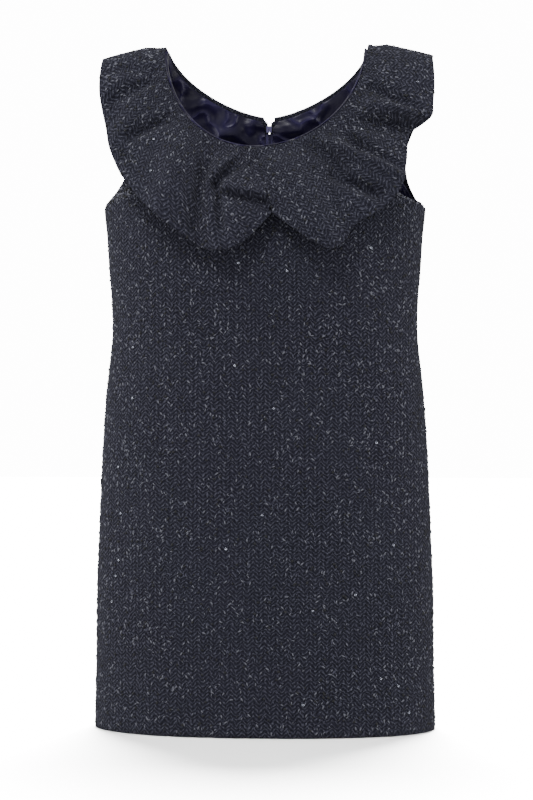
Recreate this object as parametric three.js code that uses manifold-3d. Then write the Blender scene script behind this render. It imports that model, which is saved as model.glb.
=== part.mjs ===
// A sleeveless shift dress with a wide flounce collar, filled out as if worn, in millimetres.
// +Z is up, the front faces -Y, and the origin is midway between the two neck points.
import * as THREE from 'three';
import Module from 'manifold-3d';
import { mergeVertices } from 'three/addons/utils/BufferGeometryUtils.js';

// ---- Driving sizes ----
const TWEED = 2.0; // wall of the tweed
const SATIN = 1.0; // wall of the lining
const SEAM = 0.3; // clearance between sewn pieces
const NECK_HALF = 120; // centre to neck point
const FRONT_NECK_DROP = 126;
const BACK_NECK_DROP = 74;
const FRONT_NECK_SHIFT = -7; // the front neckline's low point sits a little to the left
const SHOULDER_TIP = 172; // centre to the end of the shoulder seam
const SHOULDER_SLOPE = 0.31;
const UNDERARM_DROP = 190;
const SWAY = 3; // the shoulders sit this far to the right of the hem
const SQUARENESS = 2.2; // exponent of the rounded cross-section
const HEM_DROP = 811;
const RUFFLE_FLARE = 24; // the flounce's section is this much wider at its edge
const RUFFLE_STANDOFF = 0.8; // flounce above the panel at the neckline
const ZIP_GAP = 0.8; // centre line to each back's edge
const ZIP_NOTCH = 7; // the same at the neckline, where the backs part
const ZIP_TOP = 88; // drop of the slider's eye
const ZIP_ROWS = 14; // panel rows that the zip runs past

// Cross-sections by drop below the shoulder line: half the width, depth in front and behind.
const sections = [
  { drop: 0, half: 196, front: 0, back: 0 },
  { drop: 4, half: 195, front: 15, back: 17 },
  { drop: 14, half: 194, front: 29, back: 32 },
  { drop: 32, half: 193, front: 42, back: 45 },
  { drop: 60, half: 192, front: 52, back: 55 },
  { drop: 90, half: 191, front: 58, back: 61 },
  { drop: 125, half: 190.5, front: 66, back: 68 },
  { drop: 160, half: 190.5, front: 76, back: 75 },
  { drop: 190, half: 191, front: 84, back: 79 },
  { drop: 225, half: 187.5, front: 89, back: 80 },
  { drop: 264, half: 185, front: 89, back: 79 },
  { drop: 300, half: 182, front: 86, back: 76 },
  { drop: 336, half: 181, front: 83, back: 75 },
  { drop: 408, half: 188, front: 83, back: 83 },
  { drop: 480, half: 193, front: 86, back: 91 },
  { drop: 552, half: 196, front: 88, back: 94 },
  { drop: 640, half: 199.5, front: 90, back: 94 },
  { drop: 732, half: 200.5, front: 91, back: 93 },
  { drop: HEM_DROP, half: 202, front: 92, back: 93 },
];

// The armhole's edge below the shoulder tip: height, and distance from the centre on each panel.
const armhole = [
  { z: -16, frontLeft: 172, frontRight: 172, back: 172 },
  { z: -60, frontLeft: 166, frontRight: 165, back: 168 },
  { z: -110, frontLeft: 160, frontRight: 156, back: 165 },
  { z: -150, frontLeft: 160, frontRight: 150, back: 169 },
  { z: -172, frontLeft: 171, frontRight: 156, back: 177 },
  { z: -183, frontLeft: 182, frontRight: 170, back: 184 },
  { z: -190, frontLeft: 190, frontRight: 190, back: 190 },
];

// The flounce's outer edge: place along the piece (0 centre front, 0.5 shoulder, 1 centre back),
// distance from the centre, height, and how far the edge stands off the dress.
const ruffleLeft = [
  { along: 0, x: -15.4, z: -207, lift: 5 },
  { along: 0.03, x: 6, z: -229, lift: 7 },
  { along: 0.07, x: 28, z: -245, lift: 12 },
  { along: 0.11, x: 50, z: -247, lift: 10 },
  { along: 0.145, x: 68, z: -243, lift: 3 },
  { along: 0.18, x: 80, z: -234, lift: 11 },
  { along: 0.22, x: 108, z: -213, lift: 14 },
  { along: 0.27, x: 136, z: -188, lift: 12 },
  { along: 0.31, x: 157, z: -162, lift: 10 },
  { along: 0.35, x: 170, z: -136, lift: 8 },
  { along: 0.39, x: 182, z: -98, lift: 5 },
  { along: 0.44, x: 190, z: -60, lift: 9 },
  { along: 0.5, x: 193, z: -24, lift: 4 },
];
const ruffleRight = [
  { along: 0, x: 15.7, z: -207, lift: 5 },
  { along: 0.04, x: 36, z: -222, lift: 9 },
  { along: 0.08, x: 60, z: -238, lift: 12 },
  { along: 0.115, x: 81, z: -246, lift: 10 },
  { along: 0.15, x: 98, z: -236, lift: 4 },
  { along: 0.18, x: 109, z: -219, lift: 5 },
  { along: 0.22, x: 140, z: -200, lift: 9 },
  { along: 0.27, x: 160, z: -172, lift: 12 },
  { along: 0.31, x: 166, z: -143, lift: 4 },
  { along: 0.35, x: 170, z: -110, lift: 3 },
  { along: 0.385, x: 185, z: -97, lift: 15 },
  { along: 0.43, x: 192, z: -66, lift: 14 },
  { along: 0.5, x: 194, z: -24, lift: 4 },
];
const ruffleBack = [
  { along: 0.56, x: 188, z: -60, lift: 8 },
  { along: 0.62, x: 170, z: -98, lift: 4 },
  { along: 0.68, x: 156, z: -138, lift: 9 },
  { along: 0.74, x: 140, z: -170, lift: 5 },
  { along: 0.8, x: 118, z: -192, lift: 12 },
  { along: 0.86, x: 86, z: -184, lift: 4 },
  { along: 0.93, x: 48, z: -186, lift: 11 },
  { along: 1, x: 9, z: -172, lift: 5 },
];

// The flounce's largest folds in front, as soft lines: ends, width, and depth (a trough is negative).
const folds = [
  { fromX: -97, fromZ: -84, toX: -150, toZ: -112, width: 9, depth: -6 },
  { fromX: -60, fromZ: -122, toX: -76, toZ: -224, width: 10, depth: -6 },
  { fromX: -12, fromZ: -130, toX: -50, toZ: -172, width: 10, depth: -7 },
  { fromX: -88, fromZ: -120, toX: -110, toZ: -200, width: 22, depth: 6 },
  { fromX: 58, fromZ: -122, toX: 94, toZ: -156, width: 10, depth: -7 },
  { fromX: 84, fromZ: -162, toX: 134, toZ: -186, width: 10, depth: -7 },
  { fromX: 112, fromZ: -99, toX: 176, toZ: -103, width: 10, depth: -8 },
  { fromX: 124, fromZ: -78, toX: 184, toZ: -90, width: 14, depth: 8 },
  { fromX: 30, fromZ: -150, toX: 76, toZ: -230, width: 24, depth: 6 },
];

const FRONT = -1; // the side of the dress that a surface lies on, along Y
const BACK = 1;

// ---- The dress's surface ----
const profileCurve = (face) =>
  new THREE.CatmullRomCurve3(
    sections.map((s) => new THREE.Vector3(s.half, face * (face < 0 ? s.front : s.back), -s.drop)),
  );
const profiles = { [FRONT]: profileCurve(FRONT), [BACK]: profileCurve(BACK) };

function sectionAtDrop(face, drop) {
  let low = 0;
  let high = 1;
  for (let step = 0; step < 26; step++) {
    const middle = (low + high) / 2;
    if (-profiles[face].getPoint(middle).z < drop) low = middle;
    else high = middle;
  }
  return profiles[face].getPoint((low + high) / 2);
}

const smooth = (t) => THREE.MathUtils.smoothstep(t, 0, 1);
const dipAt = (x) => Math.max(0, Math.abs(x) - NECK_HALF) * SHOULDER_SLOPE;

// The point of the dress at distance x from the centre and height z.
function surfaceAt(face, x, z, flare = 0) {
  const fade = Math.max(0, 1 + z / UNDERARM_DROP);
  const drop = THREE.MathUtils.clamp(-z - dipAt(x) * fade, 0, HEM_DROP);
  const section = sectionAtDrop(face, drop);
  const share = Math.min(1, Math.abs(x) / (section.x + flare));
  const round = Math.pow(Math.max(0, 1 - Math.pow(share, SQUARENESS)), 1 / SQUARENESS);
  const sway = SWAY * (1 - smooth(drop / UNDERARM_DROP));
  return new THREE.Vector3(x + sway, section.y * round + (face * SEAM) / 2, z);
}

// The neckline in front or behind, k from 0 at the centre to 1 at the neck point.
function neckline(face, side, k) {
  const angle = (k * Math.PI) / 2;
  if (face === FRONT) {
    const width = NECK_HALF - side * FRONT_NECK_SHIFT;
    return { x: FRONT_NECK_SHIFT + side * width * Math.sin(angle), z: -FRONT_NECK_DROP * Math.cos(angle) };
  }
  const power = 1.33;
  return {
    x: side * NECK_HALF * Math.pow(Math.sin(angle), power),
    z: -BACK_NECK_DROP * Math.pow(Math.max(0, Math.cos(angle)), power),
  };
}

// A column's value between a table's rows, read smoothly.
function readTable(rows, key, column, at) {
  let i = 0;
  while (i < rows.length - 2 && rows[i + 1][key] < at) i++;
  const share = (at - rows[i][key]) / (rows[i + 1][key] - rows[i][key]);
  return THREE.MathUtils.lerp(rows[i][column], rows[i + 1][column], THREE.MathUtils.clamp(share, 0, 1));
}

// ---- Panels as grids of points: columns from the centre outwards, rows from the top down ----
const NECK_COLUMNS = 5;
const COLUMNS = 8;
const ARM_ROWS = 6;
const ROWS = 18;

function topEdge(face, side, i) {
  if (i <= NECK_COLUMNS) return neckline(face, side, i / NECK_COLUMNS);
  const share = (i - NECK_COLUMNS) / (COLUMNS - NECK_COLUMNS);
  const x = THREE.MathUtils.lerp(NECK_HALF, SHOULDER_TIP, share);
  return { x: side * x, z: -dipAt(x) };
}

function sideEdge(face, side, j) {
  const column = face === BACK ? 'back' : side < 0 ? 'frontLeft' : 'frontRight';
  if (j <= ARM_ROWS) {
    const row = armhole[j];
    return { x: side * row[column], z: row.z };
  }
  const share = (j - ARM_ROWS) / (ROWS - ARM_ROWS);
  const z = THREE.MathUtils.lerp(-UNDERARM_DROP, -HEM_DROP, share);
  return { x: side * sectionAtDrop(face, -z).x, z };
}

function centreEdge(face, side, j) {
  const top = neckline(face, side, 0);
  const armEnd = -UNDERARM_DROP - 40;
  const z =
    j <= ARM_ROWS
      ? THREE.MathUtils.lerp(top.z, armEnd, Math.pow(j / ARM_ROWS, face === BACK ? 1.25 : 1))
      : THREE.MathUtils.lerp(armEnd, -HEM_DROP, (j - ARM_ROWS) / (ROWS - ARM_ROWS));
  return { x: top.x * Math.max(0, 1 - j / ARM_ROWS), z };
}

const NECK_REACH = 12; // rows over which the neckline's shape fades out of the grid

function halfPanel(face, side) {
  const grid = [];
  for (let i = 0; i <= COLUMNS; i++) {
    const u = Math.pow(Math.sin(((i / COLUMNS) * Math.PI) / 2), 2 / SQUARENESS);
    const top = topEdge(face, side, i);
    const first = topEdge(face, side, 0);
    const last = topEdge(face, side, COLUMNS);
    const column = [];
    for (let j = 0; j <= ROWS; j++) {
      const fade = smooth(1 - j / NECK_REACH);
      const inner = centreEdge(face, side, j);
      const outer = sideEdge(face, side, j);
      const mix = (key) =>
        (1 - u) * inner[key] + u * outer[key] + fade * (top[key] - (1 - u) * first[key] - u * last[key]);
      let x = mix('x');
      if (face === BACK && i === 0) x = side * (j === 0 ? ZIP_NOTCH : ZIP_GAP);
      column.push(surfaceAt(face, x, mix('z')));
    }
    grid.push(column);
  }
  return grid;
}

// A grid whose columns x rows turn outwards; the front's run from right to left for that.
function panelGrid(face, side) {
  if (face === FRONT) return [...halfPanel(FRONT, 1).reverse(), ...halfPanel(FRONT, -1).slice(1)];
  const half = halfPanel(BACK, side);
  return side < 0 ? half.reverse() : half;
}

function normalsOf(grid) {
  return grid.map((column, i) =>
    column.map((_, j) => {
      const across = grid[Math.min(i + 1, grid.length - 1)][j].clone().sub(grid[Math.max(i - 1, 0)][j]);
      const down = column[Math.min(j + 1, column.length - 1)].clone().sub(column[Math.max(j - 1, 0)]);
      return across.cross(down).normalize();
    }),
  );
}

// A closed wall over a grid: the outer layer, the inner layer and the rim between them.
function wall(grid, near, far, lift = () => 0, normals = normalsOf(grid)) {
  const columns = grid.length;
  const rows = grid[0].length;
  const positions = [];
  for (const layer of [far, near])
    grid.forEach((column, i) =>
      column.forEach((point, j) =>
        positions.push(...point.clone().addScaledVector(normals[i][j], layer + lift(i, j)).toArray()),
      ),
    );
  const at = (layer, i, j) => layer * columns * rows + i * rows + j;
  const index = [];
  const quad = (a, b, c, d) => index.push(a, b, c, a, c, d);
  for (let i = 0; i < columns - 1; i++)
    for (let j = 0; j < rows - 1; j++) {
      quad(at(0, i, j), at(0, i + 1, j), at(0, i + 1, j + 1), at(0, i, j + 1));
      quad(at(1, i, j), at(1, i, j + 1), at(1, i + 1, j + 1), at(1, i + 1, j));
    }
  for (let i = 0; i < columns - 1; i++) {
    quad(at(0, i + 1, 0), at(0, i, 0), at(1, i, 0), at(1, i + 1, 0));
    quad(at(0, i, rows - 1), at(0, i + 1, rows - 1), at(1, i + 1, rows - 1), at(1, i, rows - 1));
  }
  for (let j = 0; j < rows - 1; j++) {
    quad(at(0, 0, j), at(0, 0, j + 1), at(1, 0, j + 1), at(1, 0, j));
    const last = columns - 1;
    quad(at(0, last, j + 1), at(0, last, j), at(1, last, j), at(1, last, j + 1));
  }
  const geometry = new THREE.BufferGeometry();
  geometry.setAttribute('position', new THREE.Float32BufferAttribute(positions, 3));
  geometry.setIndex(index);
  geometry.computeVertexNormals();
  return geometry;
}

// The same grid with its edges drawn in by a distance, so that the facets stay in line.
function trimmed(grid, { top = 0, bottom = 0, first = 0, last = 0 }) {
  const copy = grid.map((column) => column.map((p) => p.clone()));
  const towards = (p, q, by) => p.lerp(q, Math.min(0.8, by / p.distanceTo(q)));
  const rows = copy[0].length;
  const columns = copy.length;
  for (let i = 0; i < columns; i++) {
    if (top) towards(copy[i][0], grid[i][1], top);
    if (bottom) towards(copy[i][rows - 1], grid[i][rows - 2], bottom);
  }
  const inside = copy.map((column) => column.map((p) => p.clone()));
  for (let j = 0; j < rows; j++) {
    if (first) towards(copy[0][j], inside[1][j], first);
    if (last) towards(copy[columns - 1][j], inside[columns - 2][j], last);
  }
  return copy;
}

// ---- The flounce: one piece from the centre front over the shoulder to the zip ----
function foldLift(x, z) {
  return folds.reduce((sum, fold) => {
    const line = new THREE.Line3(
      new THREE.Vector3(fold.fromX, 0, fold.fromZ),
      new THREE.Vector3(fold.toX, 0, fold.toZ),
    );
    const point = new THREE.Vector3(x, 0, z);
    const gap = line.closestPointToPoint(point, true, new THREE.Vector3()).distanceTo(point);
    return sum + fold.depth * Math.exp(-1.6 * Math.pow(gap / fold.width, 2));
  }, 0);
}

const RUFFLE_COLUMNS = 34;
const RUFFLE_BACK_START = 8; // from the zip to where the flounce begins
const RUFFLE_ROLL = 6; // how far it stands up where it leaves the neck seam
const SHOULDER_GATHER = 1.25;
const RUFFLE_ROWS = 6;

function ruffleGrid(side, rows) {
  const table = [...rows, ...ruffleBack];
  const columns = [];
  for (let i = 0; i <= RUFFLE_COLUMNS; i++) {
    const s = i / RUFFLE_COLUMNS;
    const bend = 2 * s - 1; // columns gather near the shoulder, where the cloth turns over
    const along = 0.5 + 0.5 * Math.sign(bend) * Math.pow(Math.abs(bend), SHOULDER_GATHER);
    const face = along <= 0.5 ? FRONT : BACK;
    const neck = neckline(face, side, face === FRONT ? along * 2 : 2 - along * 2);
    if (face === BACK) neck.x = side * Math.max(Math.abs(neck.x), RUFFLE_BACK_START);
    const edge = {
      x: side * readTable(table, 'along', 'x', along),
      z: readTable(table, 'along', 'z', along),
    };
    const stand = readTable(table, 'along', 'lift', along);
    const column = [];
    const lifts = [];
    for (let j = 0; j <= RUFFLE_ROWS; j++) {
      const v = j / RUFFLE_ROWS;
      const x = THREE.MathUtils.lerp(neck.x, edge.x, v);
      const z = THREE.MathUtils.lerp(neck.z, edge.z, v);
      const point = surfaceAt(face, x, Math.min(z, -dipAt(x) * Math.max(0, 1 + z / UNDERARM_DROP)),
        RUFFLE_FLARE * v);
      if (Math.abs(along - 0.5) < 1e-6) point.y = 0;
      column.push(point);
      const folded = face === FRONT ? foldLift(x, z) * smooth(5 * v) : 0;
      lifts.push(Math.max(0, stand * smooth(v) + RUFFLE_ROLL * smooth(3 * v) + folded));
    }
    columns.push({ column, lifts });
  }
  // Seen from outside, the right piece's columns run right to left only when reversed.
  const ordered = side < 0 ? columns : columns.reverse();
  const flipped = ordered.map(({ column }) => column);
  const lifts = ordered.map((c) => c.lifts);
  return { grid: flipped, lift: (i, j) => lifts[i][j] };
}

// ---- Joining and cutting ----
const wasm = await Module();
wasm.setup();
function solid(geometry) {
  const plain = geometry.clone();
  plain.deleteAttribute('normal');
  plain.deleteAttribute('uv');
  const merged = mergeVertices(plain, 1e-4);
  return new wasm.Manifold(new wasm.Mesh({
    numProp: 3,
    vertProperties: merged.attributes.position.array,
    triVerts: new Uint32Array(merged.index.array),
  }));
}
function geometryOf(made) {
  const mesh = made.getMesh();
  const geometry = new THREE.BufferGeometry();
  geometry.setAttribute('position', new THREE.BufferAttribute(mesh.vertProperties, 3));
  geometry.setIndex(new THREE.BufferAttribute(mesh.triVerts, 1));
  geometry.computeVertexNormals();
  return geometry;
}

// ---- Colours ----
const finish = (colour, roughness, metalness = 0) =>
  new THREE.MeshStandardMaterial({ color: colour, roughness, metalness });
const tweed = () => finish(0x33363f, 0.95);
const satin = () => finish(0x1b1a3c, 0.35);
const tape = () => finish(0x241f45, 0.7);
const enamel = () => finish(0x4a4668, 0.35, 0.6);

const dress = new THREE.Group();
function add(name, geometry, material) {
  const mesh = new THREE.Mesh(geometry, material);
  mesh.name = name;
  dress.add(mesh);
  return mesh;
}

const front = panelGrid(FRONT);
const backLeft = panelGrid(BACK, -1);
const backRight = panelGrid(BACK, 1);
add('front_panel', wall(front, 0, TWEED), tweed());
add('back_panel_left', wall(backLeft, 0, TWEED), tweed());
add('back_panel_right', wall(backRight, 0, TWEED), tweed());

// The lining hangs inside the panels, short of the hem and of the zip.
const LINING_OFF = 1.5;
const HEM_SHORT = 25;
function lining(grid, trims) {
  const points = trimmed(grid, { bottom: HEM_SHORT, ...trims });
  const skin = solid(wall(points, -LINING_OFF - SATIN, -LINING_OFF, () => 0, normalsOf(grid)));
  const cleared = skin.subtract(solid(wall(grid, -SEAM, TWEED))).decompose();
  cleared.sort((one, other) => other.volume() - one.volume());
  return geometryOf(cleared[0]);
}
const SIDE_TRIM = 1.5;
add('lining_front', lining(front, { top: 1, first: SIDE_TRIM, last: SIDE_TRIM }), satin());
add('lining_back_left', lining(backLeft, { top: 5, first: SIDE_TRIM, last: 4.4 }), satin());
add('lining_back_right', lining(backRight, { top: 5, first: 4.4, last: SIDE_TRIM }), satin());

const clearOfBinding = [solid(wall(front, -LINING_OFF - SATIN - SEAM, TWEED + 2 * SEAM))];
for (const out of [0, SEAM]) clearOfBinding.push(solid(wall(front, -out, TWEED + out)));
for (const [name, side, rows] of [['ruffle_left', -1, ruffleLeft], ['ruffle_right', 1, ruffleRight]]) {
  const { grid, lift } = ruffleGrid(side, rows);
  const near = TWEED + RUFFLE_STANDOFF;
  add(name, wall(grid, near, near + TWEED, lift), tweed());
  for (const out of [0, SEAM, 2 * SEAM]) {
    clearOfBinding.push(solid(wall(grid, near - out, near + TWEED + out, lift)));
  }
}

// ---- The satin edge along the front neckline, just above the cloth's edges ----
const BINDING_HEIGHT = 2.2;
const BINDING_RISE = 0.8;
function bindingGrid() {
  const normals = normalsOf(front);
  const edge = front.slice(COLUMNS - NECK_COLUMNS, COLUMNS + NECK_COLUMNS + 1);
  return edge.map((column, i) => {
    const base = column[0];
    const normal = normals[COLUMNS - NECK_COLUMNS + i][0];
    const before = edge[Math.max(0, i - 1)][0];
    const after = edge[Math.min(edge.length - 1, i + 1)][0];
    const up = after.clone().sub(before).cross(normal).normalize();
    const rise = (by) => base.clone().addScaledVector(up, by);
    return { points: [rise(BINDING_RISE + BINDING_HEIGHT), rise(BINDING_RISE)], normal };
  });
}
const binding = bindingGrid();
const bindingPoints = trimmed(binding.map((b) => b.points), { first: 4, last: 4 });
const bindingNormals = binding.map((b) => [b.normal, b.normal]);
const bindingBar = solid(
  wall(bindingPoints, -LINING_OFF - SATIN, TWEED * 2 + RUFFLE_STANDOFF, () => 0, bindingNormals),
);
const bindingPieces = clearOfBinding.reduce((bar, piece) => bar.subtract(piece), bindingBar).decompose();
bindingPieces.sort((one, other) => other.volume() - one.volume());
const BINDING_FINEST = 0.02; // the cut's slivers below this are closed
add('neck_binding', geometryOf(bindingPieces[0].simplify(BINDING_FINEST)), satin());

// ---- The zip: two coil tapes, the slider and its pull ----
const TAPE_WIDTH = 3.6;
const TAPE_WALL = 1.0;
function tapeGrid(grid, edgeColumn, nextColumn) {
  const strip = [];
  for (const offset of [0.2, TAPE_WIDTH]) {
    const column = [];
    for (let j = 2; j <= ZIP_ROWS; j++) {
      const start = grid[edgeColumn][j];
      const inner = grid[nextColumn][j];
      column.push(start.clone().lerp(inner, offset / start.distanceTo(inner)));
    }
    const [edgePoint, nextPoint] = [grid[edgeColumn][1], grid[nextColumn][1]];
    const above = edgePoint.clone().lerp(nextPoint, offset / edgePoint.distanceTo(nextPoint));
    column.unshift(above.lerp(column[0], 0.12));
    strip.push(column);
  }
  return strip;
}
const leftTape = tapeGrid(backLeft, COLUMNS, COLUMNS - 1).reverse();
const rightTape = tapeGrid(backRight, 0, 1);
add('zip_tape_left', wall(leftTape, -SEAM - TAPE_WALL, -SEAM), tape());
add('zip_tape_right', wall(rightTape, -SEAM - TAPE_WALL, -SEAM), tape());

const block = (w, d, h, x, y, z) => solid(new THREE.BoxGeometry(w, d, h).translate(x, y, z));
// A rod or ring plate whose axis lies along X.
const rodX = (radius, width, sides, y, z) =>
  solid(new THREE.CylinderGeometry(radius, radius, width, sides).rotateZ(Math.PI / 2).translate(0, y, z));

const atSlider = surfaceAt(BACK, 0, -ZIP_TOP);
const EYE_OUT = 8.2; // the eye's axis outside the back's inner face
const EYE_RADIUS = 1.3;
const EYE_WALL = 1.0;
const STEM = 0.8; // stem and eye plate, thick along X
const SLIDER = { width: 6.5, depth: 2.6, height: 8, window: 2.2 };
const eye = new THREE.Vector3(atSlider.x, atSlider.y + EYE_OUT, atSlider.z);
const bodyInner = -SEAM - TAPE_WALL - SEAM - SLIDER.depth / 2;
const SLIDER_IN = -1.6;
const windowInner = bodyInner + SLIDER_IN - EYE_OUT - SLIDER.depth / 2;
const sliderBody = block(SLIDER.width, SLIDER.depth, SLIDER.height, 0, bodyInner + SLIDER_IN - EYE_OUT, 0)
  .subtract(block(SLIDER.window, SLIDER.depth / 2, SLIDER.window, 0, windowInner, -1));
const stemLength = EYE_OUT - bodyInner - SLIDER_IN - EYE_RADIUS;
const slider = sliderBody
  .add(block(STEM, stemLength, 2.6, 0, -EYE_RADIUS - 0.3 - stemLength / 2, 0))
  .add(rodX(EYE_RADIUS + EYE_WALL, STEM, 20, 0, 0))
  .subtract(rodX(EYE_RADIUS, STEM * 3, 16, 0, 0));
add('zip_slider', geometryOf(slider), enamel()).position.copy(eye);

// The pull hangs by the bar above its window, which passes through the eye.
const PULL = { top: 2.4, width: 3.6, length: 17, wall: 1.1, bar: 0.6, windowHalf: 0.9, windowEnd: 4.6 };
const pullOutline = new THREE.Shape();
pullOutline.moveTo(-PULL.top, PULL.bar);
pullOutline.lineTo(-PULL.width, -PULL.length + PULL.width);
pullOutline.absarc(0, -PULL.length + PULL.width, PULL.width, Math.PI, 2 * Math.PI, false);
pullOutline.lineTo(PULL.top, PULL.bar);
pullOutline.closePath();
const pullWindow = new THREE.Path();
pullWindow.moveTo(-PULL.windowHalf, -PULL.bar);
pullWindow.lineTo(PULL.windowHalf, -PULL.bar);
pullWindow.lineTo(PULL.windowHalf, -PULL.windowEnd);
pullWindow.lineTo(-PULL.windowHalf, -PULL.windowEnd);
pullWindow.closePath();
pullOutline.holes.push(pullWindow);
const pullCut = { depth: PULL.wall, bevelEnabled: false, curveSegments: 8 };
const pull = new THREE.ExtrudeGeometry(pullOutline, pullCut)
  .translate(0, 0, -PULL.wall / 2)
  .rotateX(Math.PI / 2);
add('zip_pull', pull, enamel()).position.copy(eye);

export default dress;
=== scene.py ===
"""The looks of a sleeveless tweed shift dress with a wide flounce collar and a satin lining."""
import math

import bpy
import numpy as np
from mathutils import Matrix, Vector


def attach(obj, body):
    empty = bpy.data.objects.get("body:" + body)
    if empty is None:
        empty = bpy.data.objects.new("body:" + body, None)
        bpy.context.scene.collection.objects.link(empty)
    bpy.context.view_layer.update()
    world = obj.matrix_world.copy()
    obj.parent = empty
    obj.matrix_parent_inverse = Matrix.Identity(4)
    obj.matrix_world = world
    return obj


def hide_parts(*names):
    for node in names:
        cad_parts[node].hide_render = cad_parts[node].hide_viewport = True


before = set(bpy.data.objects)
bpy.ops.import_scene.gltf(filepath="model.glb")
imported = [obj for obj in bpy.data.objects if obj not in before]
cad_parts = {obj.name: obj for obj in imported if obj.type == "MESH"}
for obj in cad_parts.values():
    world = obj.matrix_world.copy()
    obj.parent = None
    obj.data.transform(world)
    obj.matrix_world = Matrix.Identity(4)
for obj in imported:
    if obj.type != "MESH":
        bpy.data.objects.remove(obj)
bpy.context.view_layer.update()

MM = 0.001
rng = np.random.default_rng(11)

# ---- Driving sizes of the cut, in millimetres ----
TWEED = 2.0
SATIN = 1.0
SEAM = 0.3
NECK_HALF = 120
FRONT_NECK_DROP = 126
BACK_NECK_DROP = 74
FRONT_NECK_SHIFT = -7
BACK_NECK_POWER = 1.33
SHOULDER_TIP = 172
SHOULDER_SLOPE = 0.31
UNDERARM_DROP = 190
SWAY = 3
SQUARENESS = 2.2
HEM_DROP = 811
RUFFLE_FLARE = 24
RUFFLE_STANDOFF = 0.8
RUFFLE_ROLL = 6.0  # how far the flounce stands up where it leaves the neck seam
RUFFLE_BACK_START = 8  # from the zip to where the flounce begins
SHOULDER_GATHER = 1.25
ZIP_GAP = 0.8
ZIP_NOTCH = 7
LINING_OFF = 1.5
HEM_SHORT = 25
FRONT, BACK = -1, 1

SECTIONS = {
    "drop": [0, 4, 14, 32, 60, 90, 125, 160, 190, 225, 264, 300, 336, 408, 480, 552, 640, 732, HEM_DROP],
    "half": [
        196, 195, 194, 193, 192, 191, 190.5, 190.5, 191, 187.5,
        185, 182, 181, 188, 193, 196, 199.5, 200.5, 202,
    ],
    "front": [0, 15, 29, 42, 52, 58, 66, 76, 84, 89, 89, 86, 83, 83, 86, 88, 90, 91, 92],
    "back": [0, 17, 32, 45, 55, 61, 68, 75, 79, 80, 79, 76, 75, 83, 91, 94, 94, 93, 93],
}

ARMHOLE = {
    "z": [-16, -60, -110, -150, -172, -183, -190],
    "front_left": [172, 166, 160, 160, 171, 182, 190],
    "front_right": [172, 165, 156, 150, 156, 170, 190],
    "back": [172, 168, 165, 169, 177, 184, 190],
}

# The flounce's outer edge: place along the piece, distance out, height, and stand-off.
RUFFLE_EDGE = {
    -1: [
        (0, -15.4, -207, 5), (0.03, 6, -229, 7), (0.07, 28, -245, 12), (0.11, 50, -247, 10),
        (0.145, 68, -243, 3), (0.18, 80, -234, 11), (0.22, 108, -213, 14), (0.27, 136, -188, 12),
        (0.31, 157, -162, 10), (0.35, 170, -136, 8), (0.39, 182, -98, 5), (0.44, 190, -60, 9),
        (0.5, 193, -24, 4),
    ],
    1: [
        (0, 15.7, -207, 5), (0.04, 36, -222, 9), (0.08, 60, -238, 12), (0.115, 81, -246, 10),
        (0.15, 98, -236, 4), (0.18, 109, -219, 5), (0.22, 140, -200, 9), (0.27, 160, -172, 12),
        (0.31, 166, -143, 4), (0.35, 170, -110, 3), (0.385, 185, -97, 15), (0.43, 192, -66, 14),
        (0.5, 194, -24, 4),
    ],
}
RUFFLE_BACK = [
    (0.56, 188, -60, 8), (0.62, 170, -98, 4), (0.68, 156, -138, 9), (0.74, 140, -170, 5),
    (0.8, 118, -192, 12), (0.86, 86, -184, 4), (0.93, 48, -186, 11), (1, 9, -172, 5),
]

# Creases of the flounce as soft lines in the front view: start and end (x, z), width and depth.
# A negative depth is a trough, a positive one a ridge.
CREASES = [
    # start x, start z, end x, end z, width, depth
    (-121, -38, -176, -68, 9, -8.0),
    (-130, -33, -180, -34, 8, -4.5),
    (-97, -84, -150, -112, 9, -9.0),
    (-60, -122, -76, -224, 9, -10.0),
    (-12, -130, -50, -172, 8, -13.0),
    (-48, -176, -42, -222, 6, -9.0),
    (2, -134, -12, -150, 5, -7.0),
    (-30, -140, -62, -176, 12, 6.0),
    (-88, -120, -110, -200, 22, 6.0),
    (-150, -80, -175, -130, 16, 5.0),
    (58, -122, 94, -156, 8, -14.0),
    (84, -162, 134, -186, 8, -14.0),
    (92, -98, 112, -128, 8, -13.0),
    (112, -128, 158, -154, 7, -7.0),
    (126, -56, 174, -86, 8, -9.0),
    (112, -99, 176, -103, 9, -17.0),
    (70, -118, 158, -165, 9, 8.0),
    (124, -78, 184, -90, 12, 10.0),
    (30, -150, 76, -230, 24, 6.0),
]
# The pleat beside the centre seam: the cloth above this line folds over the lobe below it.
PLEAT = [(-44, -180), (-26, -184), (0, -188), (8, -190), (13, -200)]
PLEAT_DEPTH = 12.0


def smooth(t):
    t = np.clip(t, 0, 1)
    return t * t * (3 - 2 * t)


def rounded_table(keys, values, at):
    """Reads a table with a smooth curve through its rows."""
    keys, values = np.asarray(keys, float), np.asarray(values, float)
    slope = np.gradient(values, keys)
    i = np.clip(np.searchsorted(keys, at) - 1, 0, len(keys) - 2)
    h = keys[i + 1] - keys[i]
    t = np.clip((at - keys[i]) / h, 0, 1)
    return (
        (2 * t**3 - 3 * t**2 + 1) * values[i]
        + (t**3 - 2 * t**2 + t) * h * slope[i]
        + (3 * t**2 - 2 * t**3) * values[i + 1]
        + (t**3 - t**2) * h * slope[i + 1]
    )


def section(face, drop):
    """Half width and depth of the dress at a drop below the shoulder line."""
    root = np.sqrt(np.maximum(drop, 0))  # the shoulder is round, so its depth grows with the root
    keys = np.sqrt(np.array(SECTIONS["drop"], float))
    depth = rounded_table(keys, SECTIONS["front" if face < 0 else "back"], root)
    return rounded_table(keys, SECTIONS["half"], root), face * depth


def dip(x):
    return np.maximum(0, np.abs(x) - NECK_HALF) * SHOULDER_SLOPE


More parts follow.
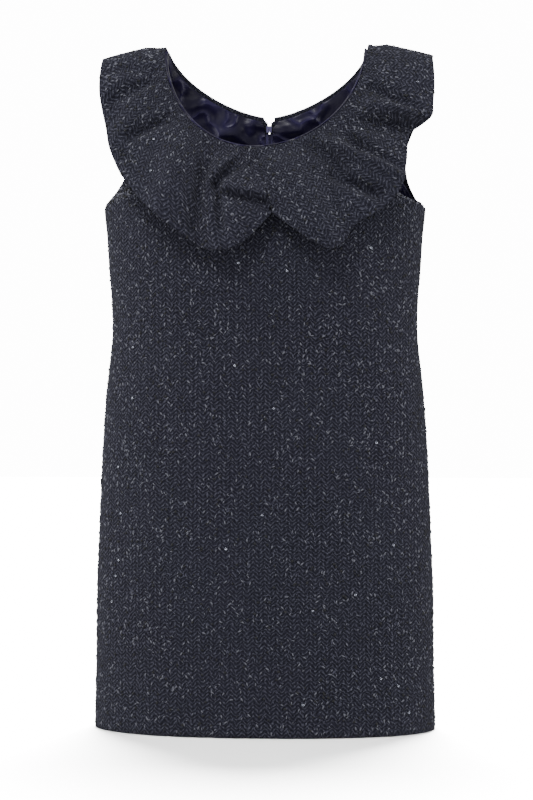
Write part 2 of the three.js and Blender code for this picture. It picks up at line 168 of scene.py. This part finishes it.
def surface(face, x, z, flare=0.0):
    """Points of the dress at distance x and height z, as an array of (x, y, z)."""
    fade = np.maximum(0, 1 + z / UNDERARM_DROP)
    z = np.minimum(z, -dip(x) * fade)
    drop = np.clip(-z - dip(x) * fade, 0, HEM_DROP)
    half, depth = section(face, drop)
    share = np.minimum(1, np.abs(x) / (half + flare))
    turn = np.maximum(0, 1 - share**SQUARENESS) ** (1 / SQUARENESS)
    sway = SWAY * (1 - smooth(drop / UNDERARM_DROP))
    return np.stack([x + sway, depth * turn + face * SEAM / 2, z + 0 * x], -1)


def neckline(face, side, k):
    angle = k * np.pi / 2
    if face == FRONT:
        width = NECK_HALF - side * FRONT_NECK_SHIFT
        return FRONT_NECK_SHIFT + side * width * np.sin(angle), -FRONT_NECK_DROP * np.cos(angle)
    return (
        side * NECK_HALF * np.sin(angle) ** BACK_NECK_POWER,
        -BACK_NECK_DROP * np.maximum(0, np.cos(angle)) ** BACK_NECK_POWER,
    )


# ---- Panels as fine grids, columns from the centre outwards and rows from the top down ----
NECK_SHARE = 5 / 8  # of the columns, those that start at the neckline
ARM_SHARE = 1 / 3  # of the rows, those that end at the armhole
ARM_GRAIN_DROP = UNDERARM_DROP + 40  # where the centre's rows meet the last armhole row
NOTCH_DEPTH = 13  # height over which the back neck's notch closes


def half_panel(face, side, columns, rows):
    s = np.linspace(0, 1, columns + 1)
    t = np.linspace(0, 1, rows + 1)
    u = np.sin(s * np.pi / 2) ** (2 / SQUARENESS)
    neck_x, neck_z = neckline(face, side, np.minimum(1, s / NECK_SHARE))
    beyond = np.clip((s - NECK_SHARE) / (1 - NECK_SHARE), 0, 1)
    shoulder = NECK_HALF + beyond * (SHOULDER_TIP - NECK_HALF)
    top_x = np.where(s <= NECK_SHARE, neck_x, side * shoulder)
    top_z = np.where(s <= NECK_SHARE, neck_z, -dip(shoulder))
    column = "back" if face == BACK else ("front_left" if side < 0 else "front_right")
    arm = t <= ARM_SHARE
    arm_place = np.clip(t / ARM_SHARE, 0, 1) * 6
    low = np.clip((t - ARM_SHARE) / (1 - ARM_SHARE), 0, 1)
    outer_z = np.where(arm, rounded_table(np.arange(7), ARMHOLE["z"], arm_place),
                       -UNDERARM_DROP + low * (UNDERARM_DROP - HEM_DROP))
    side_half, _ = section(face, -outer_z)
    outer_x = side * np.where(arm, rounded_table(np.arange(7), ARMHOLE[column], arm_place), side_half)
    arm_end = -ARM_GRAIN_DROP
    bend = 1.25 if face == BACK else 1.0
    inner_z = np.where(arm, top_z[0] + np.clip(t / ARM_SHARE, 0, 1) ** bend * (arm_end - top_z[0]),
                       arm_end + low * (-HEM_DROP - arm_end))
    inner_x = top_x[0] * np.maximum(0, 1 - t / ARM_SHARE)
    fade = smooth(1 - 1.5 * t)
    U, F = u[:, None], fade[None, :]

    def mixed(top, inner, outer):
        spread = top - (1 - u) * top[0] - u * top[-1]
        return (1 - U) * inner[None, :] + U * outer[None, :] + F * spread[:, None]

    x, z = mixed(top_x, inner_x, outer_x), mixed(top_z, inner_z, outer_z)
    if face == BACK:
        gap = ZIP_GAP + (ZIP_NOTCH - ZIP_GAP) * smooth(1 - (inner_z[0] - inner_z) / NOTCH_DEPTH) ** 1.3
        x = side * np.maximum(np.abs(x), gap[None, :])
    return x, z


def panel(face, side, columns, rows):
    """Points of a panel, ordered so that its normals turn outwards."""
    if face == FRONT:
        right, left = half_panel(FRONT, 1, columns, rows), half_panel(FRONT, -1, columns, rows)
        x = np.concatenate([right[0][::-1], left[0][1:]])
        z = np.concatenate([right[1][::-1], left[1][1:]])
    else:
        x, z = half_panel(BACK, side, columns, rows)
        if side < 0:
            x, z = x[::-1], z[::-1]
    return surface(face, x, z)


def normals(points):
    across = np.gradient(points, axis=0)
    down = np.gradient(points, axis=1)
    n = np.cross(across, down)
    return n / np.maximum(1e-9, np.linalg.norm(n, axis=-1, keepdims=True))


def cloth_grain(points, face):
    """Where each point lies on the cut cloth, in metres: round the body from the centre, and down."""
    step = np.linalg.norm(np.diff(points[..., :2], axis=0), axis=-1)
    run = np.concatenate([np.zeros((1, points.shape[1])), np.cumsum(step, 0)])
    centre = np.argmin(np.abs(points[..., 0]), axis=0)
    run = run - run[centre, np.arange(points.shape[1])]
    return np.stack([run * (1 if face > 0 else -1), points[..., 2]], -1) * MM


def grid_faces(columns, rows, base=0, flip=False):
    i, j = np.meshgrid(np.arange(columns - 1), np.arange(rows - 1), indexing="ij")
    a = base + i * rows + j
    quads = np.stack([a, a + rows, a + rows + 1, a + 1], -1).reshape(-1, 4)
    return quads[:, ::-1] if flip else quads


def add_mesh(name, vertices, faces, finish, grain=None, body="dress"):
    mesh = bpy.data.meshes.new(name)
    corners = (np.asarray(vertices).reshape(-1, 3) * MM).tolist()
    mesh.from_pydata(corners, [], [tuple(map(int, face)) for face in faces])
    mesh.materials.append(finish)
    mesh.polygons.foreach_set("use_smooth", [True] * len(mesh.polygons))
    if grain is not None:
        layer = mesh.attributes.new("cloth", "FLOAT_VECTOR", "POINT")
        flat = np.zeros((len(mesh.vertices), 3), np.float32)
        flat[:, :2] = np.asarray(grain).reshape(-1, 2)
        layer.data.foreach_set("vector", flat.ravel())
    thing = bpy.data.objects.new(name, mesh)
    bpy.context.scene.collection.objects.link(thing)
    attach(thing, body)
    return thing


def cloth_wall(name, points, near, far, finish, grain, lift=0.0, out=None):
    """A closed thin wall over a grid, from near to far along its normals."""
    n = normals(points) if out is None else out
    lift = np.broadcast_to(np.asarray(lift, float), points.shape[:2])[..., None]
    columns, rows = points.shape[:2]
    layers = [points + n * (far + lift), points + n * (near + lift)]
    count = columns * rows
    faces = [grid_faces(columns, rows), grid_faces(columns, rows, count, True)]
    ring = np.concatenate([
        np.arange(columns) * rows,
        (columns - 1) * rows + np.arange(1, rows),
        (np.arange(columns - 2, -1, -1)) * rows + rows - 1,
        np.arange(rows - 2, 0, -1),
    ])
    after = np.roll(ring, -1)
    faces.append(np.stack([after, ring, ring + count, after + count], -1))
    both = np.concatenate([layer.reshape(-1, 3) for layer in layers])
    grains = np.concatenate([grain.reshape(-1, 2)] * 2)
    return add_mesh(name, both, np.concatenate(faces), finish, grains)


def cloth_area(points):
    a = np.cross(np.diff(points, axis=0)[:, :-1], np.diff(points, axis=1)[:-1])
    return float(np.linalg.norm(a, axis=-1).sum()) * MM * MM


# ---- Shader writing ----
class Value:
    """A socket that adds Math nodes when it is used in an expression."""

    def __init__(self, nodes, socket):
        self.nodes, self.socket = nodes, socket

    def _math(self, operation, *others):
        return self.nodes.add("ShaderNodeMath", {"operation": operation}, dict(enumerate(others)))

    def __add__(self, other):
        return self._math("ADD", self, other)

    __radd__ = __add__

    def __sub__(self, other):
        return self._math("SUBTRACT", self, other)

    def __rsub__(self, other):
        return self._math("SUBTRACT", other, self)

    def __mul__(self, other):
        return self._math("MULTIPLY", self, other)

    __rmul__ = __mul__

    def __truediv__(self, other):
        return self._math("DIVIDE", self, other)

    def __mod__(self, other):
        return self._math("FLOORED_MODULO", self, other)

    def apart(self):
        return self._math("ABSOLUTE", self)


class Finish:
    """A material and the nodes it is made from."""

    def __init__(self, name, slot, **uniform):
        self.material = bpy.data.materials.new(name)
        self.material.use_nodes = True
        self.tree = self.material.node_tree
        self.shader = self.tree.nodes["Principled BSDF"]
        for socket, number in uniform.items():
            self.shader.inputs[socket.replace("_", " ")].default_value = number

    def add(self, kind, settings=None, inputs=None, output=0):
        node = self.tree.nodes.new(kind)
        for key, setting in (settings or {}).items():
            if key == "stops":
                ramp = node.color_ramp
                while len(ramp.elements) < len(setting):
                    ramp.elements.new(0.5)
                for element, (place, colour) in zip(ramp.elements, setting):
                    element.position, element.color = place, (*colour, 1)
            else:
                setattr(node, key, setting)
        for key, given in (inputs or {}).items():
            if isinstance(given, Value):
                self.tree.links.new(given.socket, node.inputs[key])
            else:
                node.inputs[key].default_value = given
        return Value(self, node.outputs[output])

    def to_shader(self, **links):
        for socket, value in links.items():
            self.tree.links.new(value.socket, self.shader.inputs[socket.replace("_", " ")])

    def cloth_place(self):
        return self.add("ShaderNodeAttribute", {"attribute_name": "cloth"}, {}, 1)

    def noise(self, place, scale, detail=3.0, roughness=0.6):
        return self.add("ShaderNodeTexNoise", {}, {
            "Vector": place, "Scale": scale, "Detail": detail, "Roughness": roughness})

    def bump(self, height, distance, strength=1.0):
        return self.add("ShaderNodeBump", {}, {
            "Height": height, "Distance": distance, "Strength": strength})

    def mix(self, factor, dark, light):
        node = self.tree.nodes.new("ShaderNodeMix")
        node.data_type = "RGBA"
        for index, given in ((0, factor), (6, dark), (7, light)):
            if isinstance(given, Value):
                self.tree.links.new(given.socket, node.inputs[index])
            else:
                node.inputs[index].default_value = given if index == 0 else (*given, 1)
        return Value(self, node.outputs[2])


WEAVE_LINE = 0.0048  # metres between the zigzag's lines
WEAVE_LEG = 0.0065  # width of one leg of the zigzag
WEAVE_WANDER = 0.006  # how far the yarn strays from its line
NAVY = (0.0068, 0.0068, 0.0128)
CHARCOAL = (0.022, 0.0222, 0.034)
GREY_YARN = (0.098, 0.100, 0.130)
NEAR_BLACK = (0.0015, 0.0015, 0.003)


def tweed_finish():
    f = Finish("boucle_tweed", "tweed", Roughness=0.92, Sheen_Weight=0.03, Sheen_Roughness=0.5,
               Specular_IOR_Level=0.08)
    place = f.cloth_place()
    warp = f.noise(place, 160.0, 2.0)
    sway = f.noise(place, 150.0, 2.0)
    across = f.add("ShaderNodeSeparateXYZ", {}, {0: place}, 0) + (warp - 0.5) * WEAVE_WANDER
    down = f.add("ShaderNodeSeparateXYZ", {}, {0: place}, 1) + (sway - 0.5) * WEAVE_WANDER
    fold = ((across / (2 * WEAVE_LEG)) % 1.0 - 0.5).apart() * (2 * WEAVE_LEG)
    line = ((down + fold) / WEAVE_LINE) % 1.0
    ridge = 1.0 - (line - 0.5).apart() * 2.0
    vertical = 1.0 - ((across / WEAVE_LINE) % 1.0 - 0.5).apart() * 2.0
    curl = f.noise(place, 700.0, 3.0, 0.7)
    clump = f.noise(place, 240.0, 2.0)
    tone = ridge * 0.36 + vertical * 0.14 + curl * 0.55 + clump * 0.4
    colour = f.add("ShaderNodeValToRGB", {"stops": [
        (0.42, NEAR_BLACK), (0.58, NAVY), (0.76, CHARCOAL), (0.95, GREY_YARN)]}, {0: tone * 0.92})
    shade = f.noise(place, 9.0, 2.0)
    colour = f.mix(shade * 0.5, colour, CHARCOAL)
    height = ridge * 0.5 + curl * 0.7 + clump * 0.5 + vertical * 0.2
    f.to_shader(Base_Color=colour, Normal=f.bump(height, 0.0026, 1.0))
    return f.material


def satin_finish():
    f = Finish("lining_satin", "satin", Roughness=0.3, Sheen_Weight=0.0, Specular_IOR_Level=0.16)
    place = f.cloth_place()
    wave = f.noise(place, 14.0, 2.0)
    swirl = f.noise(place, 17.0, 1.5)
    fold = 1.0 - ((swirl * 5.0) % 1.0 - 0.5).apart() * 2.0
    # The fold crests raise the bump and also lighten the satin's colour: a painted highlight that stands in
    # for the sheen on each crest. The slow wave noise adds random tone.
    crest_bump_and_highlight = fold * fold * fold
    thread = f.noise(place, 2200.0, 1.0)
    colour = f.mix(wave * 0.25 + crest_bump_and_highlight * 0.6, (0.003, 0.0022, 0.009), (0.021, 0.016, 0.056))
    f.to_shader(Base_Color=colour, Roughness=0.3 + wave * 0.12,
                Normal=f.bump(crest_bump_and_highlight + thread * 0.03, 0.0035, 0.8))
    return f.material


def plain_finish(name, slot, dark, light, scale, roughness, depth, metal=0.0):
    f = Finish(name, slot, Metallic=metal)
    place = f.add("ShaderNodeTexCoord", {}, {}, 3)
    grain = f.noise(place, scale, 3.0)
    f.to_shader(Base_Color=f.mix(grain, dark, light), Roughness=roughness + grain * 0.15,
                Normal=f.bump(grain, depth, 0.6))
    return f.material


tweed = tweed_finish()
satin = satin_finish()
tape_weave = plain_finish(
    "zip_tape_weave", "zip_tape", (0.01, 0.008, 0.04), (0.04, 0.03, 0.11), 900, 0.6, 0.0002)
enamel = plain_finish(
    "zip_enamel", "zip_metal", (0.03, 0.025, 0.075), (0.07, 0.06, 0.14), 400, 0.4, 0.00003, 0.2)
black_yarn = plain_finish(
    "black_yarn", "tweed", (0.001, 0.001, 0.002), (0.004, 0.004, 0.006), 1500, 0.8, 0.0003)
grey_yarn = plain_finish(
    "grey_yarn", "tweed", (0.034, 0.035, 0.045), (0.115, 0.117, 0.146), 1500, 0.8, 0.0003)
navy_yarn = plain_finish(
    "navy_yarn", "tweed", (0.012, 0.012, 0.024), (0.042, 0.043, 0.066), 1500, 0.85, 0.0003)
sequin_gloss = plain_finish(
    "sequin_gloss", "tweed", (0.05, 0.055, 0.08), (0.3, 0.31, 0.36), 300, 0.1, 0.00002, 0.9)


# ---- The dress's panels ----
def body_panels():
    made = {}
    for name, face, side, columns, rows in (
        ("front_panel", FRONT, 0, 60, 170),
        ("back_panel_left", BACK, -1, 60, 170),
        ("back_panel_right", BACK, 1, 60, 170),
    ):
        points = panel(face, side, columns, rows)
        n = normals(points)
        # Slow, uneven swells of the hanging cloth, none of them sharp.
        x, z = points[..., 0], points[..., 2]
        below = smooth((-z - 230) / 120)
        swell = below * (
            1.6 * np.sin(x / 46 + z / 310 + 0.8 * face)
            + 1.1 * np.sin(x / 27 - z / 170 + 2.1)
            + 0.8 * np.sin(z / 58 + x / 90)
        ) * smooth((195 - np.abs(x)) / 60)
        grain = cloth_grain(points, face)
        thing = cloth_wall("cloth_" + name, points, 0.2, TWEED, tweed, grain, swell * 0.6, n)
        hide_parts(name)
        made[name] = (points, n, swell * 0.6 + TWEED, grain)
    return made


def linings():
    for name, face, side, trims in (
        ("lining_front", FRONT, 0, (1.5, 1.5, 1.0)),
        ("lining_back_left", BACK, -1, (1.5, 4.4, 5.0)),
        ("lining_back_right", BACK, 1, (4.4, 1.5, 5.0)),
    ):
        points = panel(face, side, 60, 150)
        n = normals(points)
        first, last, top = trims

        def drawn(points, axis, at, to, by):
            take = lambda k: np.take(points, k, axis)
            step = take(to) - take(at)
            length = np.maximum(1e-6, np.linalg.norm(step, axis=-1, keepdims=True))
            return take(at) + step / length * by

        points = points.copy()
        top_row, low_row = drawn(points, 1, 0, 6, top), drawn(points, 1, -1, -8, HEM_SHORT)
        for k in range(6):
            points[:, k] = top_row + (points[:, 6] - top_row) * k / 6
        for k in range(8):
            points[:, -1 - k] = low_row + (points[:, -9] - low_row) * k / 8
        start, end = drawn(points, 0, 0, 3, first), drawn(points, 0, -1, -4, last)
        for k in range(3):
            points[k] = start + (points[3] - start) * k / 3
            points[-1 - k] = end + (points[-4] - end) * k / 3
        x, z = points[..., 0], points[..., 2]
        # The loose lining folds inwards below the back neck, in slanting swirls.
        near = smooth((z + 230) / 90) if face == BACK else 0.4 * smooth((z + 260) / 100)
        out = np.abs(x)
        folds = near * (
            4.5 * (1 - np.abs(np.sin((z * 1.1 - out * 0.45) / 15 + 1.3 * np.sin(x / 24)))) ** 2
            + 3.2 * (1 - np.abs(np.sin((z * 0.8 + out * 0.6) / 19 + 1.7 + np.sin(z / 17)))) ** 2.5
            + 1.4 * (1 - np.abs(np.sin((z * 0.5 + x * 0.9) / 9 + 1.5 * np.sin((x - z) / 20)))) ** 2
        ) + 0.5 * (1 + np.sin(x / 13 + z / 60))
        edge = np.minimum(np.arange(points.shape[1]) / 5, 1)[None, :]
        thing = cloth_wall("satin_" + name, points, -LINING_OFF - SATIN, -LINING_OFF, satin,
                           cloth_grain(points, face), -folds * edge, n)
        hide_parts(name)


# ---- The flounce ----
def distance_to_line(x, z, x0, z0, x1, z1):
    along = np.array([x1 - x0, z1 - z0], float)
    length = np.hypot(*along)
    t = ((x - x0) * along[0] + (z - z0) * along[1]) / length**2
    clipped = np.clip(t, 0, 1)
    gap = np.hypot(x - x0 - clipped * along[0], z - z0 - clipped * along[1])
    return gap, t


def crease_lift(x, z):
    total = np.zeros_like(x)
    for x0, z0, x1, z1, width, depth in CREASES:
        gap, t = distance_to_line(x, z, x0, z0, x1, z1)
        middle = 0.75 + 0.25 * np.sin(np.clip(t, 0, 1) * np.pi)
        total += depth * np.exp(-(gap / width) ** 2 * 1.6) * middle
    return total


def pleat_lift(x, z):
    """The overlap beside the centre seam: proud above the pleat's line, tucked in below it."""
    places = np.array(PLEAT, float)
    line = np.interp(x, places[:, 0], places[:, 1])
    inside = smooth((x - places[0, 0] + 6) / 14) * smooth((places[-1, 0] + 4 - x) / 8)
    above = smooth((z - line + 0.8) / 1.6)
    reach = smooth(1 - np.abs(z - line) / 26)
    return inside * reach * PLEAT_DEPTH * (above - 0.45)


def ruffle(side, name):
    columns, rows = 300, 64
    table = np.array(RUFFLE_EDGE[side] + RUFFLE_BACK, float)
    s = np.linspace(-1, 1, columns + 1)
    along = 0.5 + 0.5 * np.sign(s) * np.abs(s) ** SHOULDER_GATHER
    front = along <= 0.5
    fx, fz = neckline(FRONT, side, np.minimum(1, along * 2))
    bx, bz = neckline(BACK, side, np.clip(2 - 2 * along, 0, 1))
    bx = side * np.maximum(np.abs(bx), RUFFLE_BACK_START)
    neck_x, neck_z = np.where(front, fx, bx), np.where(front, fz, bz)
    edge_x = side * rounded_table(table[:, 0], table[:, 1], along)
    edge_z = rounded_table(table[:, 0], table[:, 2], along)
    stand = rounded_table(table[:, 0], table[:, 3], along)
    v = np.linspace(0, 1, rows + 1)
    x = neck_x[:, None] + (edge_x - neck_x)[:, None] * v
    z = neck_z[:, None] + (edge_z - neck_z)[:, None] * v
    flare = RUFFLE_FLARE * v[None, :] + 0 * x
    points = np.where(front[:, None, None], surface(FRONT, x, z, flare), surface(BACK, x, z, flare))
    middle = np.abs(along - 0.5) < 1e-6
    points[middle, :, 1] = 0
    shown_face = np.where(front, -1, 1)[:, None]
    lift = stand[:, None] * smooth(v) + RUFFLE_ROLL * smooth(3 * v)
    into = smooth(v * 5)[None, :]
    front_folds = crease_lift(x, z) + pleat_lift(x, z)
    back_folds = 3.6 * np.sin(along[:, None] * 58 + 0.9 * side + 2.2 * v) * smooth(v * 1.4)
    lift = lift + into * np.where(shown_face < 0, front_folds, back_folds)
    lift = np.maximum(lift, 0.0)
    if side > 0:
        points, lift, x, z = points[::-1], lift[::-1], x[::-1], z[::-1]
    n = normals(points)
    # The grain runs askew on the flounce: across follows the neckline, down follows its fall.
    run = np.cumsum(np.linalg.norm(np.gradient(points[:, rows // 2], axis=0), axis=-1))
    fall = np.linalg.norm(points - points[:, :1], axis=-1)
    grain = np.stack([run[:, None] + 0.25 * fall, -fall + 0.2 * run[:, None]], -1) * MM
    near = TWEED + RUFFLE_STANDOFF
    thing = cloth_wall("cloth_" + name, points, near, near + TWEED, tweed, grain, lift, n)
    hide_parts(name)
    cloth_area(points + n * lift[..., None])
    return points, n, lift + near + TWEED, grain


# ---- Yarn ends, nubs and sequins, each kind one joined mesh ----
def scatter(name, sheets, per_metre, finish, shape, lay, proud):
    """Copies of a small closed shape, laid at random on the sheets and turned by lay()."""
    corners, faces = shape
    vertices, all_faces, base = [], [], 0
    for points, n, lift, _ in sheets:
        number = int(cloth_area(points) * per_metre)
        i = rng.uniform(0.5, points.shape[0] - 1.5, number)
        j = rng.uniform(0.5, points.shape[1] - 1.5, number)
        a, b = i.astype(int), j.astype(int)
        share_i, share_j = (i - a)[:, None], (j - b)[:, None]
        tops = points + n * lift[..., None]
        at = (
            tops[a, b] * (1 - share_i) * (1 - share_j) + tops[a + 1, b] * share_i * (1 - share_j)
            + tops[a, b + 1] * (1 - share_i) * share_j + tops[a + 1, b + 1] * share_i * share_j
        )
        true_n = normals(tops)[a, b]
        tangent = np.gradient(tops, axis=1)[a, b]
        tangent /= np.maximum(1e-9, np.linalg.norm(tangent, axis=-1, keepdims=True))
        other = np.cross(true_n, tangent)
        for k in range(number):
            turn, tilt, size = lay()
            along = tangent[k] * math.cos(turn) + other[k] * math.sin(turn)
            across = np.cross(true_n[k], along)
            up = true_n[k] + along * tilt
            up /= np.linalg.norm(up)
            local = corners * size
            level = local[:, :1] * along + local[:, 1:2] * across
            vertices.append(at[k] + level + (local[:, 2:] + proud) * up)
            all_faces.append(faces + base)
            base += len(corners)
    thing = add_mesh(name, np.concatenate(vertices), np.concatenate(all_faces), finish)
    return thing


def bead(length, width, height, sides=4):
    """A closed spindle along its first axis: a point at each end and two rings between."""
    corners, faces = [(-0.5 * length, 0.0, 0.0), (0.5 * length, 0.0, 0.0)], []
    for place in (-0.22, 0.22):
        for k in range(sides):
            a = 2 * math.pi * (k + 0.5) / sides
            corners.append((place * length, math.cos(a) * width / 2, math.sin(a) * height / 2))
    for k in range(sides):
        near, far = 2 + k, 2 + (k + 1) % sides
        faces.append((near, 0, far))
        faces.append((near, far, far + sides))
        faces.append((near, far + sides, near + sides))
        faces.append((near + sides, far + sides, 1))
    return np.array(corners), np.array(faces)


def sequin_disc(radius=1.6, hole=0.35, sides=12):
    corners, faces = [], []
    for share, rise in ((hole, 0.0), (radius, 0.22)):
        for level in (0.0, 0.12):
            for k in range(sides):
                a = 2 * math.pi * k / sides
                corners.append((math.cos(a) * share, math.sin(a) * share, rise + level))
    for k in range(sides):
        m = (k + 1) % sides
        low_in, top_in, low_out, top_out = (np.array([k, m]) + sides * q for q in range(4))
        faces += [
            (top_in[0], top_out[0], top_out[1], top_in[1]),
            (low_in[1], low_out[1], low_out[0], low_in[0]),
            (low_out[0], low_out[1], top_out[1], top_out[0]),
            (low_in[1], low_in[0], top_in[0], top_in[1]),
        ]
    return np.array(corners), np.array(faces)


def trimmings(sheets):
    dash = bead(4.4, 1.8, 1.7)
    nub = bead(3.0, 2.6, 2.5)
    slant = lambda: (rng.choice([-0.55, 0.55]) + rng.normal(0, 0.35), 0.0, rng.uniform(0.6, 1.25))
    anyhow = lambda: (rng.uniform(0, math.pi), rng.normal(0, 0.2), rng.uniform(0.55, 1.3))
    flat = lambda: (rng.uniform(0, 6.3), rng.normal(0, 0.22), rng.uniform(0.85, 1.1))
    scatter("yarn_grey", sheets, 11500, grey_yarn, dash, slant, 0.0)
    scatter("yarn_navy", sheets, 9500, navy_yarn, dash, slant, 0.0)
    scatter("nubs_black", sheets, 6200, black_yarn, nub, anyhow, 0.1)
    scatter("sequins", sheets, 170, sequin_gloss, sequin_disc(), flat, 0.7)


# ---- The satin edge and the zip ----
def neck_edge():
    bars = []
    for side in (1, -1):
        k = np.linspace(0.97, 0, 50) if side > 0 else np.linspace(0, 0.97, 50)[1:]
        x, z = neckline(FRONT, side, k)
        bars.append(surface(FRONT, x, z))
    path = np.concatenate(bars)
    tangent = np.gradient(path, axis=0)
    tangent /= np.linalg.norm(tangent, axis=-1, keepdims=True)
    x, z = path[:, 0] - SWAY, path[:, 2]
    inward = surface(FRONT, x * 0.98, z - 4) - surface(FRONT, x * 0.98, z)
    n = np.cross(tangent, inward)
    n /= np.linalg.norm(n, axis=-1, keepdims=True)
    up = np.cross(tangent, n)
    depth, height, sides = (LINING_OFF + SATIN + 2 * TWEED + RUFFLE_STANDOFF + 0.6) / 2, 1.7, 10
    middle = TWEED + RUFFLE_STANDOFF - LINING_OFF + 0.6
    ring = []
    for q in range(sides):
        a = 2 * math.pi * q / sides
        ring.append(path + n * (middle / 2 + depth * math.cos(a)) + up * (1.3 + height * math.sin(a)))
    points = np.stack(ring, 1)
    length, caps = len(path), np.arange(sides)
    faces = [
        (i * sides + q, i * sides + (q + 1) % sides, (i + 1) * sides + (q + 1) % sides, (i + 1) * sides + q)
        for i in range(length - 1) for q in range(sides)
    ]
    faces += [caps[::-1], (length - 1) * sides + caps]
    run = np.cumsum(np.linalg.norm(np.gradient(path, axis=0), axis=-1)) * MM
    grain = np.stack([np.repeat(run, sides), np.tile(caps, length) * MM], -1)
    mesh = add_mesh("satin_neck_edge", points, faces, satin, grain)
    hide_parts("neck_binding")


def zip_coils():
    """The coil's teeth, as small beads down both tapes on the inside."""
    shape, faces = bead(1.5, 1.2, 1.4)
    vertices, all_faces, base = [], [], 0
    for z in np.arange(-94, -600, -1.3):
        for side in (-1, 1):
            p = surface(BACK, np.array(side * 0.9), np.array(z))
            vertices.append(shape + p + np.array([0, -SEAM - 1.4, 0]))
            all_faces.append(faces + base)
            base += len(shape)
    thing = add_mesh("zip_teeth", np.concatenate(vertices), np.concatenate(all_faces), tape_weave)


def cad_finishes():
    for node, finish in (
        ("zip_tape_left", tape_weave), ("zip_tape_right", tape_weave),
        ("zip_slider", enamel), ("zip_pull", enamel),
    ):
        thing = bpy.data.objects[node]
        for slot in thing.material_slots:
            slot.material = finish


# ---- Camera, floor and light ----
FRAMED_HEIGHT = 0.96  # metres of the dress's plane that the picture is high


def studio():
    azimuth, distance, eye = math.radians(4), 2.5, -0.42
    camera = bpy.data.objects.new("camera", bpy.data.cameras.new("camera"))
    bpy.context.scene.collection.objects.link(camera)
    camera.location = (distance * math.sin(azimuth), -distance * math.cos(azimuth), eye)
    camera.rotation_euler = (math.pi / 2, 0, azimuth)
    camera.data.sensor_width = 36
    camera.data.lens = 36 * distance / FRAMED_HEIGHT
    camera.data.shift_x = 2.0 / 800
    bpy.context.scene.camera = camera

    white = Finish("studio_white", "floor", Roughness=1.0, Specular_IOR_Level=0.0)
    speck = white.noise(white.add("ShaderNodeTexCoord", {}, {}, 3), 3.0)
    white.to_shader(Base_Color=white.mix(speck, (0.93, 0.93, 0.93), (0.95, 0.95, 0.95)))
    mesh = bpy.data.meshes.new("floor")
    low = -(HEM_DROP + 1) * MM
    ends = [(-8, -6), (8, -6), (8, 8), (-8, 8)]
    mesh.from_pydata([(x, y, low) for x, y in ends], [], [(0, 1, 2, 3)])
    mesh.materials.append(white.material)
    floor = bpy.data.objects.new("floor", mesh)
    bpy.context.scene.collection.objects.link(floor)
    floor.visible_diffuse = floor.visible_glossy = False

    # The lamp from behind lights the floor alone, so that the hem's soft shadow falls forwards.
    only_floor = bpy.data.collections.new("only_floor")
    only_floor.objects.link(floor)
    sun = bpy.data.lights.new("floor_light", "SUN")
    sun.energy, sun.angle = 66, math.radians(32)
    sky = bpy.data.objects.new("floor_light", sun)
    bpy.context.scene.collection.objects.link(sky)
    sky.rotation_euler = (math.radians(-30), 0, 0)
    sky.light_linking.receiver_collection = only_floor

    world = bpy.data.worlds.new("studio")
    bpy.context.scene.world = world
    world.use_nodes = True
    back = world.node_tree.nodes["Background"]
    back.inputs["Color"].default_value = (1, 1, 1, 1)
    back.inputs["Strength"].default_value = 0.8
    bright = world.node_tree.nodes.new("ShaderNodeBackground")
    bright.inputs["Strength"].default_value = 18.0
    seen = world.node_tree.nodes.new("ShaderNodeLightPath")
    mixed = world.node_tree.nodes.new("ShaderNodeMixShader")
    join = world.node_tree.links.new
    join(seen.outputs["Is Camera Ray"], mixed.inputs[0])
    join(back.outputs[0], mixed.inputs[1])
    join(bright.outputs[0], mixed.inputs[2])
    join(mixed.outputs[0], world.node_tree.nodes["World Output"].inputs[0])
    for name, place, power, size in (
        ("key", (-0.8, -1.7, 2.3), 92, 0.8),
        ("front", (0.0, -2.7, -0.9), 38, 1.2),
        ("side_left", (-2.2, -0.5, -0.3), 46, 1.4),
        ("side_right", (2.2, -0.5, -0.3), 46, 1.4),
    ):
        light = bpy.data.lights.new(name, "AREA")
        light.energy, light.size = power, size
        lamp = bpy.data.objects.new(name, light)
        bpy.context.scene.collection.objects.link(lamp)
        lamp.location = place
        lamp.rotation_euler = (Vector((0, 0, -0.35)) - Vector(place)).to_track_quat("-Z", "Y").to_euler()


studio()
shown = body_panels()
linings()
collars = [ruffle(-1, "ruffle_left"), ruffle(1, "ruffle_right")]
trimmings([*shown.values(), *collars])
neck_edge()
zip_coils()
cad_finishes()
bpy.context.view_layer.update()
